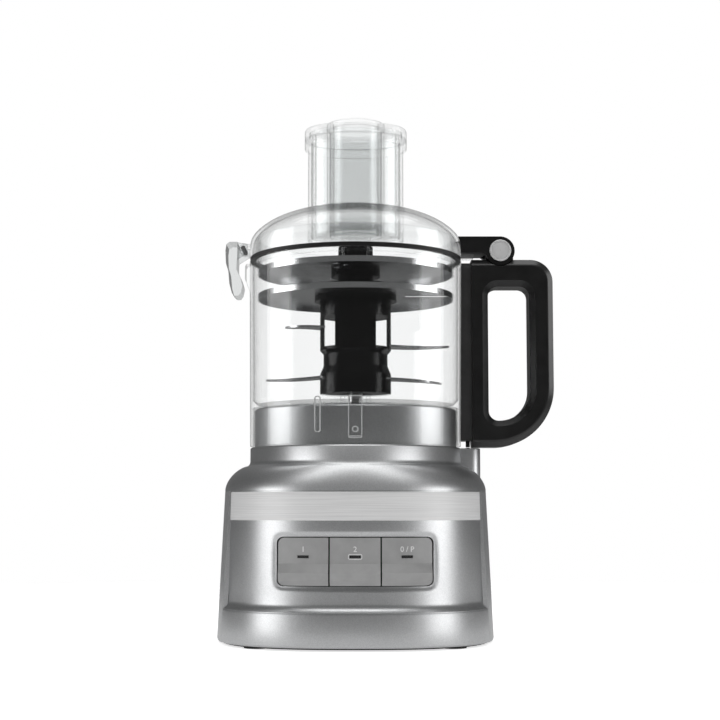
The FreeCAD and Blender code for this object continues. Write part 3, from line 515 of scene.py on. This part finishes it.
def make_platform():
    """The raised platform that fills the bowl's skirt, with a soft top edge round the shaft seal."""
    seal_r = 13.4
    inner = PLATFORM_R - 2.6
    edge_r = 2.0
    low, floor, under = NECK_TOP - 1.0, PLATFORM_TOP - 1.2, PLATFORM_TOP - 5.0
    profile = [(PLATFORM_R, low)]
    profile += arc((PLATFORM_R - edge_r, PLATFORM_TOP - edge_r), edge_r, 0, 90, 6)
    profile += [(seal_r + 6, PLATFORM_TOP), (seal_r + 4.5, floor), (seal_r, floor)]
    profile += [(seal_r, under), (inner, under), (inner, low)]
    piece = lathe(profile, 128, closed=True)
    return finish_piece(piece, "bowl_platform", "base", "silver_paint", SILVER)


def make_interlock_post():
    """The post beside the neck that the interlock pin comes up through."""
    low, top = 113.0, NECK_TOP - 0.3
    inner, outer, width = 73.0, 89.0, 16.0
    middle_x = AXIS.x + (inner + outer) / 2 * MM
    post = block((middle_x, AXIS.y, (low + top) / 2 * MM), (outer - inner, width, top - low))

    def is_outer_corner(first, second):
        return abs(first.z - second.z) > LONG and first.x > middle_x

    round_edges(post, 6.4, 6, is_outer_corner)
    rim = post.modifiers.new("rim", "BEVEL")
    rim.width = 0.8 * MM
    rim.segments = 3
    rim.limit_method = "ANGLE"
    rim.angle_limit = math.radians(60)
    return finish_piece(post, "interlock_post", "base", "silver_paint", SILVER)


WINDOW_HALF_X = 52.2
WINDOW_Z = (41.9, 74.6)
WINDOW_CORNER = 4.4
RECESS_DEPTH = 0.9
RECESS_MARGIN = 3.6
FACE_INSET = 3.2
FACE_LEAN = 2.0
FACE_START = 29.0
SEAM_Y = -35.0
WALL = 2.6


def beyond_window(x, z):
    """How far a point of the front is outside the buttons' rounded window, in millimetres."""
    low, high = WINDOW_Z
    over_x = abs(x) - (WINDOW_HALF_X - WINDOW_CORNER)
    over_z = abs(z - (low + high) / 2) - ((high - low) / 2 - WINDOW_CORNER)
    return math.hypot(max(over_x, 0), max(over_z, 0)) - WINDOW_CORNER


def face_inset(z):
    """How far the face, above the ledge, stands behind the plinth's line."""
    return FACE_INSET - FACE_LEAN * (z - FACE_START) / (SHELL_TOP - FACE_START)


def front_profile():
    """The front's outline from its foot up: plinth, a rounded ledge, a cove and the tall face."""
    ledge = 24.9
    cove_r = 6.5
    outline = [(0.9, 2.0), (0.25, 2.5), (0.0, 3.4), (0.0, 14.0), (0.0, ledge - 1.3)]
    outline += [(0.06, ledge - 0.8), (0.22, ledge - 0.3)]
    outline += arc((FACE_INSET - cove_r, ledge + 5.6), cove_r, -57, 0, 8)
    low, high = WINDOW_Z
    fine = 0.8
    rows = [low - fine * k for k in range(5, -1, -1)] + [46, 52, 58, 64, 70]
    rows += [high + fine * k for k in range(6)] + [82, 90, 98, SHELL_TOP]
    outline += [(face_inset(z), z) for z in rows]
    return [(BASE_HALF_WIDTH - inset - BASE_TAPER * z, z) for inset, z in outline]


def bend_to_plan(shell, centre):
    """Turn the round shell into the base's plan, with a soft recess round the buttons' window."""
    for vertex in shell.data.vertices:
        x = (vertex.co.x - centre.x) / MM
        y = (vertex.co.y - centre.y) / MM
        z = vertex.co.z / MM
        flat_x, flat_y = base_reach(math.atan2(y, x), math.hypot(x, y))
        near = 1 - min(max(beyond_window(flat_x, z) / RECESS_MARGIN, 0), 1)
        if flat_y < 0 and near > 0:
            flat_y += RECESS_DEPTH * near * near * (3 - 2 * near)
        vertex.co.x = AXIS.x + flat_x * MM
        vertex.co.y = AXIS.y + flat_y * MM


def window_cutter():
    """A rounded block that cuts the buttons' window through the front."""
    depth = 50
    wall_y = -85
    size = (2 * WINDOW_HALF_X, depth, WINDOW_Z[1] - WINDOW_Z[0])
    cutter = block((AXIS.x, AXIS.y + wall_y * MM, sum(WINDOW_Z) / 2 * MM), size)
    round_edges(cutter, WINDOW_CORNER, 8, lambda first, second: abs(first.y - second.y) > LONG)
    apply_modifiers(cutter)
    return cutter


def make_front_shell():
    """The front housing, cut off at the seam, with its wall and its window."""
    centre = AXIS + Vector((0, BASE_Y * MM, 0))
    shell = lathe(front_profile(), 320, centre=centre)
    apply_place(shell)
    bend_to_plan(shell, centre)
    work_on(shell)
    bpy.ops.object.mode_set(mode="EDIT")
    bpy.ops.mesh.select_all(action="SELECT")
    bpy.ops.mesh.bisect(
        plane_co=(0, AXIS.y + SEAM_Y * MM, 0), plane_no=(0, 1, 0), clear_outer=True,
    )
    fresh()
    thicken(shell, WALL)
    cutter = window_cutter()
    cut = shell.modifiers.new("window", "BOOLEAN")
    cut.operation = "DIFFERENCE"
    cut.object = cutter
    cut.solver = "EXACT"
    apply_modifiers(shell)
    bpy.data.objects.remove(cutter)
    return finish_piece(
        shell, "front_shell", "base", "silver_paint", SILVER, "front_housing", angle=40,
    )


make_front_shell()
make_shoulder()
make_platform()
make_interlock_post()


# ---------------------------------------------------------------- buttons

BUTTON_PITCH = 34.4
LABEL_Z = 66.4
LABEL_SIZE = 5.0
LIGHT_Z = 61.5
LIGHT_FRAME_HALF_X = 4.7
LIGHT_FRAME_HALF_Z = 1.85
PADDLE_PROUD = 0.7


def place_on_front(piece, sink):
    """Lay a flat piece, drawn in X and Y about the axis, onto the buttons, sunk a little."""
    for vertex in piece.data.vertices:
        height = vertex.co.y / MM
        inset = face_inset(height) - PADDLE_PROUD
        half_width = BASE_HALF_WIDTH - inset - BASE_TAPER * height
        x = (vertex.co.x - AXIS.x) / MM
        share = (1 - abs(x / half_width) ** BASE_POWER) ** (1 / BASE_POWER)
        y = BASE_Y - half_depth_for(half_width) * share
        depth = vertex.co.z / MM
        vertex.co.y = AXIS.y + (y - depth + sink) * MM
        vertex.co.z = height * MM


def make_label(words, place, body):
    """A printed label: thin raised white characters that ride with their button."""
    fresh()
    below = 1.6
    bpy.ops.object.text_add(
        location=(AXIS.x + place * BUTTON_PITCH * MM, (LABEL_Z - below) * MM, 0),
    )
    text = bpy.context.object
    text.data.body = words
    text.data.size = LABEL_SIZE * MM
    text.data.align_x = "CENTER"
    text.data.extrude = 0.1 * MM
    text.data.offset = 0.07 * MM
    bpy.ops.object.convert(target="MESH")
    apply_place(text)
    place_on_front(text, 0.0)
    bpy.ops.object.mode_set(mode="EDIT")
    bpy.ops.mesh.select_all(action="SELECT")
    bpy.ops.mesh.remove_doubles(threshold=0.001 * MM)
    bpy.ops.mesh.normals_make_consistent(inside=False)
    return finish_piece(text, "label_" + body[7:], body, "button_grey", PRINT)


def make_light_frame():
    """A thin rounded frame round the middle button's light window."""
    sides = (-LIGHT_FRAME_HALF_X, LIGHT_FRAME_HALF_X)
    ends = (LIGHT_Z - LIGHT_FRAME_HALF_Z, LIGHT_Z + LIGHT_FRAME_HALF_Z)
    piece = flat_frame(sides, ends, 1.2, 0.55, 0.25)
    place_on_front(piece, 0.1)
    return finish_piece(piece, "light_frame_2", "button_2", "button_grey", PRINT)


BUTTON_LABELS = (("button_1", "1"), ("button_2", "2"), ("button_pulse", "0 / P"))
for place, (body, words) in enumerate(BUTTON_LABELS):
    make_label(words, place - 1, body)
make_light_frame()


# ---------------------------------------------------------------- bowl and lid details

BOWL_R_LOW = 75.2
BOWL_R_TOP = 76.4
BOWL_BOTTOM = 137.0
BOWL_TOP = 269.4


def wrap_on_bowl(piece, proud):
    """Bend a flat piece, drawn in X and Y about the axis, round the bowl's outside."""
    for vertex in piece.data.vertices:
        along = (vertex.co.x - AXIS.x) / MM
        height = vertex.co.y / MM
        share = (height - BOWL_BOTTOM) / (BOWL_TOP - BOWL_BOTTOM)
        radius = BOWL_R_LOW + share * (BOWL_R_TOP - BOWL_R_LOW) + proud + vertex.co.z / MM
        angle = along / BOWL_R_LOW
        vertex.co.x = AXIS.x + radius * math.sin(angle) * MM
        vertex.co.y = AXIS.y - radius * math.cos(angle) * MM
        vertex.co.z = height * MM


def make_bowl_marks():
    """Raised lines on the bowl's skirt: a tall slot, the lock's tab and a small ring."""
    cuts = 3
    slot = flat_frame((-28.0, -23.5), (144.0, 168.5), 2.0, 0.7, 0.9, cuts)
    tab = flat_frame((-4.7, 4.7), (141.0, 168.5), 0.4, 0.6, 0.9, cuts)
    dial = flat_frame((-2.2, 2.2), (143.8, 148.2), 2.1, 0.8, 0.9, cuts)
    foot = flat_frame((-4.4, 4.4), (140.0, 141.6), 0.3, 0.6, 1.1, cuts)
    marks = join([slot, tab, dial, foot])
    wrap_on_bowl(marks, -0.4)
    # The clear ribs get a pale opaque material: the light they catch is painted into their colour.
    return finish_piece(marks, "bowl_skirt_ribs", "bowl", "clear_plastic", PAINTED_HIGHLIGHT_RIB)


def make_hinge_cap():
    """The silver button over the hinge pin: a domed face inside a raised ring."""
    centre = middle("hinge_cap")
    low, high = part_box("hinge_cap")
    back = high[1] / MM
    radius = (high[2] - low[2]) / 2 / MM
    profile = [(0.2, 0.0), (radius, 0.0), (radius, 1.3)]
    profile += arc((radius - 0.6, 1.4), 0.6, 0, 150, 5)
    profile += [(radius - 1.3, 1.2)]
    dome_r = radius - 1.5
    dome_steps = 6
    for k in range(dome_steps):
        turn = (k + 0.5) / dome_steps * math.pi / 2
        profile.append((dome_r * math.cos(turn), 1.1 + 0.8 * math.sin(turn)))
    profile += [(0.2, 1.9)]
    cap = lathe(profile, 64, closed=True, centre=Vector((0, 0, 0)))
    cap.rotation_euler = (math.radians(90), 0, 0)
    cap.location = (centre.x, back * MM, centre.z)
    return finish_piece(cap, "hinge_button", "bowl", "silver_cap", CAP_METAL, "hinge_cap")


make_bowl_marks()
make_hinge_cap()


# ---------------------------------------------------------------- studio

def area_light(name, place, target, size, power):
    """A soft box that faces its target."""
    bpy.ops.object.light_add(type="AREA", location=place)
    lamp = bpy.context.object
    lamp.name = name
    lamp.data.shape = "RECTANGLE"
    lamp.data.size, lamp.data.size_y = size
    lamp.data.energy = power
    lamp.rotation_euler = (Vector(target) - Vector(place)).to_track_quat("-Z", "Y").to_euler()
    return lamp


def seen_or_lighting(owner, seen, lighting):
    """One strength for what is seen, also through clear plastic, and another for what is reflected."""
    path = add(owner, "ShaderNodeLightPath")
    reflections = add(
        owner, "ShaderNodeMath",
        links={0: path.outputs["Diffuse Depth"], 1: path.outputs["Glossy Depth"]}, operation="ADD",
    )
    strength = add(
        owner, "ShaderNodeMapRange", {"To Min": seen, "To Max": lighting},
        {"Value": reflections.outputs["Value"]},
    )
    return strength.outputs["Result"]


def make_floor():
    """White paper under the object, lit from below, that fades into the studio's white."""
    bpy.ops.mesh.primitive_circle_add(vertices=96, radius=2.0, fill_type="NGON")
    floor = bpy.context.object
    floor.name = "floor"
    material, place = start_material("matt white paper")
    bump = grain(material, place, 1.2, 0.05, 0.05)
    fade_start, fade_end = 300.0, 900.0
    reach = add(material, "ShaderNodeVectorMath", links={0: place}, operation="LENGTH")
    alpha = add(
        material, "ShaderNodeMapRange",
        {"From Min": fade_start, "From Max": fade_end, "To Min": 1.0, "To Max": 0.0},
        {"Value": reach.outputs["Value"]},
    )
    glow = seen_or_lighting(material, seen=0.72, lighting=0.2)
    surface(
        material,
        {"Base Color": linear("fafafa"), "Roughness": 0.8, "Emission Color": linear("ffffff")},
        {
            "Normal": bump.outputs["Normal"], "Alpha": alpha.outputs["Result"],
            "Emission Strength": glow,
        },
    )
    floor.data.materials.append(material)


def make_world():
    """White to look at, and much dimmer as a light, so that the lamps shape the silver."""
    world = bpy.data.worlds.new("studio")
    bpy.context.scene.world = world
    world.use_nodes = True
    background = world.node_tree.nodes["Background"]
    background.inputs["Color"].default_value = (1, 1, 1, 1)
    strength = seen_or_lighting(world, seen=1.0, lighting=0.13)
    world.node_tree.links.new(strength, background.inputs["Strength"])


def make_camera():
    """Eye level with the lower shoulder, tilted up a little."""
    distance = 1.08
    height = 0.0954
    beside = 3.2 * MM
    tilt = math.radians(5.5)
    bpy.ops.object.camera_add(
        location=(AXIS.x + beside, AXIS.y - distance, height),
        rotation=(math.radians(90) + tilt, 0, 0),
    )
    camera = bpy.context.object
    camera.data.sensor_width = 36.0
    camera.data.lens = 75.4
    bpy.context.scene.camera = camera


def shine_only_on(lamp, pieces):
    """Keep a lamp's light to some of the pieces."""
    group = bpy.data.collections.new(lamp.name + " receivers")
    for piece in pieces:
        group.objects.link(piece)
    lamp.light_linking.receiver_collection = group


def make_lights():
    """Tall panels beside the bowl, low ones for the base, two boxes above, one for the shoulder."""
    base_names = (
        "front_shell", "shoulder_shell", "interlock_post", "trim_band", "button", "light", "label",
    )
    pieces = [piece for piece in bpy.data.objects if piece.type == "MESH"]
    base = [piece for piece in pieces if piece.name.startswith(base_names)]
    others = [piece for piece in pieces if piece not in base]
    shoulder = [piece for piece in base if piece.name == "shoulder_shell"]
    at_base = (AXIS.x, AXIS.y, 0.06)
    at_shoulder = (AXIS.x, AXIS.y, 0.12)
    at_bowl = (AXIS.x, AXIS.y, 0.55)
    lamps = []
    for side in (-1, 1):
        beside_bowl = (AXIS.x + side * 1.2, AXIS.y, 0.55)
        beside_base = (AXIS.x + side * 0.99, AXIS.y - 0.68, 0.1)
        lamps.append(("side panel", beside_bowl, at_bowl, (0.73, 0.8), 5.0, others))
        lamps.append(("low panel", beside_base, at_base, (0.66, 0.5), 3.4, base))
    lamps += [
        ("top box", (AXIS.x, 0.2, 1.25), at_shoulder, (1.1, 0.7), 5.0, None),
        ("front top box", (AXIS.x, -0.52, 1.15), at_shoulder, (0.8, 0.42), 3.0, None),
        ("shoulder box", (AXIS.x, -0.95, 0.88), at_shoulder, (1.3, 0.5), 4.0, shoulder),
    ]
    for name, place, target, size, power, receivers in lamps:
        lamp = area_light(name, place, target, size, power)
        if receivers:
            shine_only_on(lamp, receivers)


bpy.ops.object.select_all(action="DESELECT")
make_floor()
make_world()
make_camera()
make_lights()

bpy.context.scene.view_settings.view_transform = "Standard"
